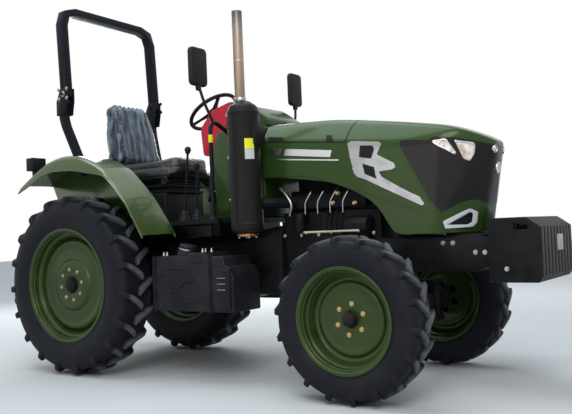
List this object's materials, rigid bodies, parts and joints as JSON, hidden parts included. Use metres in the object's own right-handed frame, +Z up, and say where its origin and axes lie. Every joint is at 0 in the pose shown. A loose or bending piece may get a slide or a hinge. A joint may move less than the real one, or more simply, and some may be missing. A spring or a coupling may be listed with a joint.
{
  "type": "farm tractor",
  "caption": "Open-station farm tractor with driven front wheels, folding roll hoop, nose weights and a rear three-point linkage; wheels roll, front wheels steer, hood lifts.",
  "frame": {"origin": "on the ground, under the middle of the tractor's length and width", "axes": "+X forward, +Y to the tractor's left, +Z up"},
  "size_m": [3.969, 1.417, 2.5667],
  "materials": {
    "green_paint": "glossy mid-green paint",
    "wheel_green": "glossy green paint on pressed steel",
    "black_paint": "satin black paint",
    "cast_black": "black-painted casting",
    "tyre": "black tread rubber",
    "black_plastic": "moulded black plastic",
    "gloss_black": "gloss dark grey panel",
    "red_plastic": "glossy red plastic",
    "red_lens": "red lamp lens",
    "lamp_glass": "clear lamp lens",
    "chrome": "chrome trim",
    "stack_metal": "heat-tinted tan metal",
    "steel": "bare machined steel",
    "seat_vinyl": "black vinyl"
  },
  "bodies": {
    "chassis": {"battery_box": "black_plastic", "control_levers": "black_paint", "cylinder_head": "cast_black", "dash_console": "green_paint", "drawbar": "black_paint", "drive_shaft": "black_paint", "engine_block": "cast_black", "engine_fittings": "cast_black", "exhaust_manifold": "cast_black", "exhaust_stack": "stack_metal", "fender_left": "green_paint", "fender_right": "green_paint", "front_axle": "cast_black", "front_bolster": "black_paint", "front_weights": "black_paint", "fuel_tank": "black_plastic", "gearbox_housing": "cast_black", "handrails": "black_paint", "instrument_cowl": "red_plastic", "mirror_left": "black_plastic", "mirror_right": "black_plastic", "muffler": "black_paint", "pedals": "black_paint", "platform": "black_paint", "pto_shaft": "steel", "radiator": "black_paint", "rear_axle_housing": "cast_black", "rops_posts": "black_paint", "seat_back": "seat_vinyl", "seat_base": "black_plastic", "seat_cushion": "seat_vinyl", "steering_column": "black_plastic", "tail_lamps": "red_lens", "top_link": "black_paint"},
    "rear_wheel_right": {"rear_tyre_right": "tyre", "rear_wheel_right": "wheel_green"},
    "rear_wheel_left": {"rear_tyre_left": "tyre", "rear_wheel_left": "wheel_green"},
    "front_wheel_right": {"front_tyre_right": "tyre", "front_wheel_right": "wheel_green"},
    "front_wheel_left": {"front_tyre_left": "tyre", "front_wheel_left": "wheel_green"},
    "knuckle_right": {"knuckle_right": "cast_black"},
    "knuckle_left": {"knuckle_left": "cast_black"},
    "track_rod": {"track_rod": "black_paint"},
    "steering_wheel": {"steering_wheel": "black_plastic"},
    "hood": {"hood_shell": "green_paint", "grille": "gloss_black", "headlamps": "lamp_glass", "hood_trim": "chrome"},
    "rops_hoop": {"rops_hoop": "black_paint"},
    "lower_links": {"lower_links": "black_paint"},
    "lift_arms": {"lift_arms": "black_paint"},
    "lift_rods": {"lift_rods": "black_paint"}
  },
  "joints": [
    {"name": "rear_right_spin", "type": "hinge", "parent": "chassis", "child": "rear_wheel_right", "pos_m": [-1.02, -0.56, 0.595], "axis": [0, 1, 0], "continuous": true},
    {"name": "rear_left_spin", "type": "hinge", "parent": "chassis", "child": "rear_wheel_left", "pos_m": [-1.02, 0.56, 0.595], "axis": [0, 1, 0], "continuous": true},
    {"name": "front_right_spin", "type": "hinge", "parent": "knuckle_right", "child": "front_wheel_right", "pos_m": [1.09, -0.603, 0.428], "axis": [0, 1, 0], "continuous": true},
    {"name": "front_left_spin", "type": "hinge", "parent": "knuckle_left", "child": "front_wheel_left", "pos_m": [1.09, 0.603, 0.428], "axis": [0, 1, 0], "continuous": true},
    {"name": "steer_right", "type": "hinge", "parent": "chassis", "child": "knuckle_right", "pos_m": [1.09, -0.46, 0.428], "axis": [0, 0, 1], "range_deg": [-40, 40]},
    {"name": "steer_left", "type": "hinge", "parent": "chassis", "child": "knuckle_left", "pos_m": [1.09, 0.46, 0.428], "axis": [0, 0, 1], "range_deg": [-40, 40]},
    {"name": "track_rod_swing", "type": "hinge", "parent": "knuckle_right", "child": "track_rod", "pos_m": [0.92, -0.46, 0.3], "axis": [0, 0, 1], "range_deg": [-40, 40]},
    {"name": "steering_wheel_turn", "type": "hinge", "parent": "chassis", "child": "steering_wheel", "pos_m": [-0.26, 0, 1.725], "axis": [-0.5736, 0, 0.8191], "range_deg": [-540, 540]},
    {"name": "hood_lift", "type": "hinge", "parent": "chassis", "child": "hood", "pos_m": [0.364, 0, 1.568], "axis": [0, -1, 0], "range_deg": [0, 48]},
    {"name": "rops_fold", "type": "hinge", "parent": "chassis", "child": "rops_hoop", "pos_m": [-1.24, 0, 1.927], "axis": [0, -1, 0], "range_deg": [0, 100]},
    {"name": "hitch_lift", "type": "hinge", "parent": "chassis", "child": "lower_links", "pos_m": [-1.07, 0, 0.45], "axis": [0, 1, 0], "range_deg": [-12, 30]},
    {"name": "lift_arm_turn", "type": "hinge", "parent": "chassis", "child": "lift_arms", "pos_m": [-1.12, 0, 0.88], "axis": [0, 1, 0], "range_deg": [-12, 30]},
    {"name": "lift_rod_swing", "type": "hinge", "parent": "lift_arms", "child": "lift_rods", "pos_m": [-1.48, 0, 0.88], "axis": [0, 1, 0], "range_deg": [-30, 12]}
  ],
  "couplings": [
    {"joint": "steer_left", "follows": "steer_right", "ratio": 1},
    {"joint": "track_rod_swing", "follows": "steer_right", "ratio": -1},
    {"joint": "steering_wheel_turn", "follows": "steer_right", "ratio": 13.5},
    {"joint": "lift_arm_turn", "follows": "hitch_lift", "ratio": 1},
    {"joint": "lift_rod_swing", "follows": "hitch_lift", "ratio": -1}
  ]
}
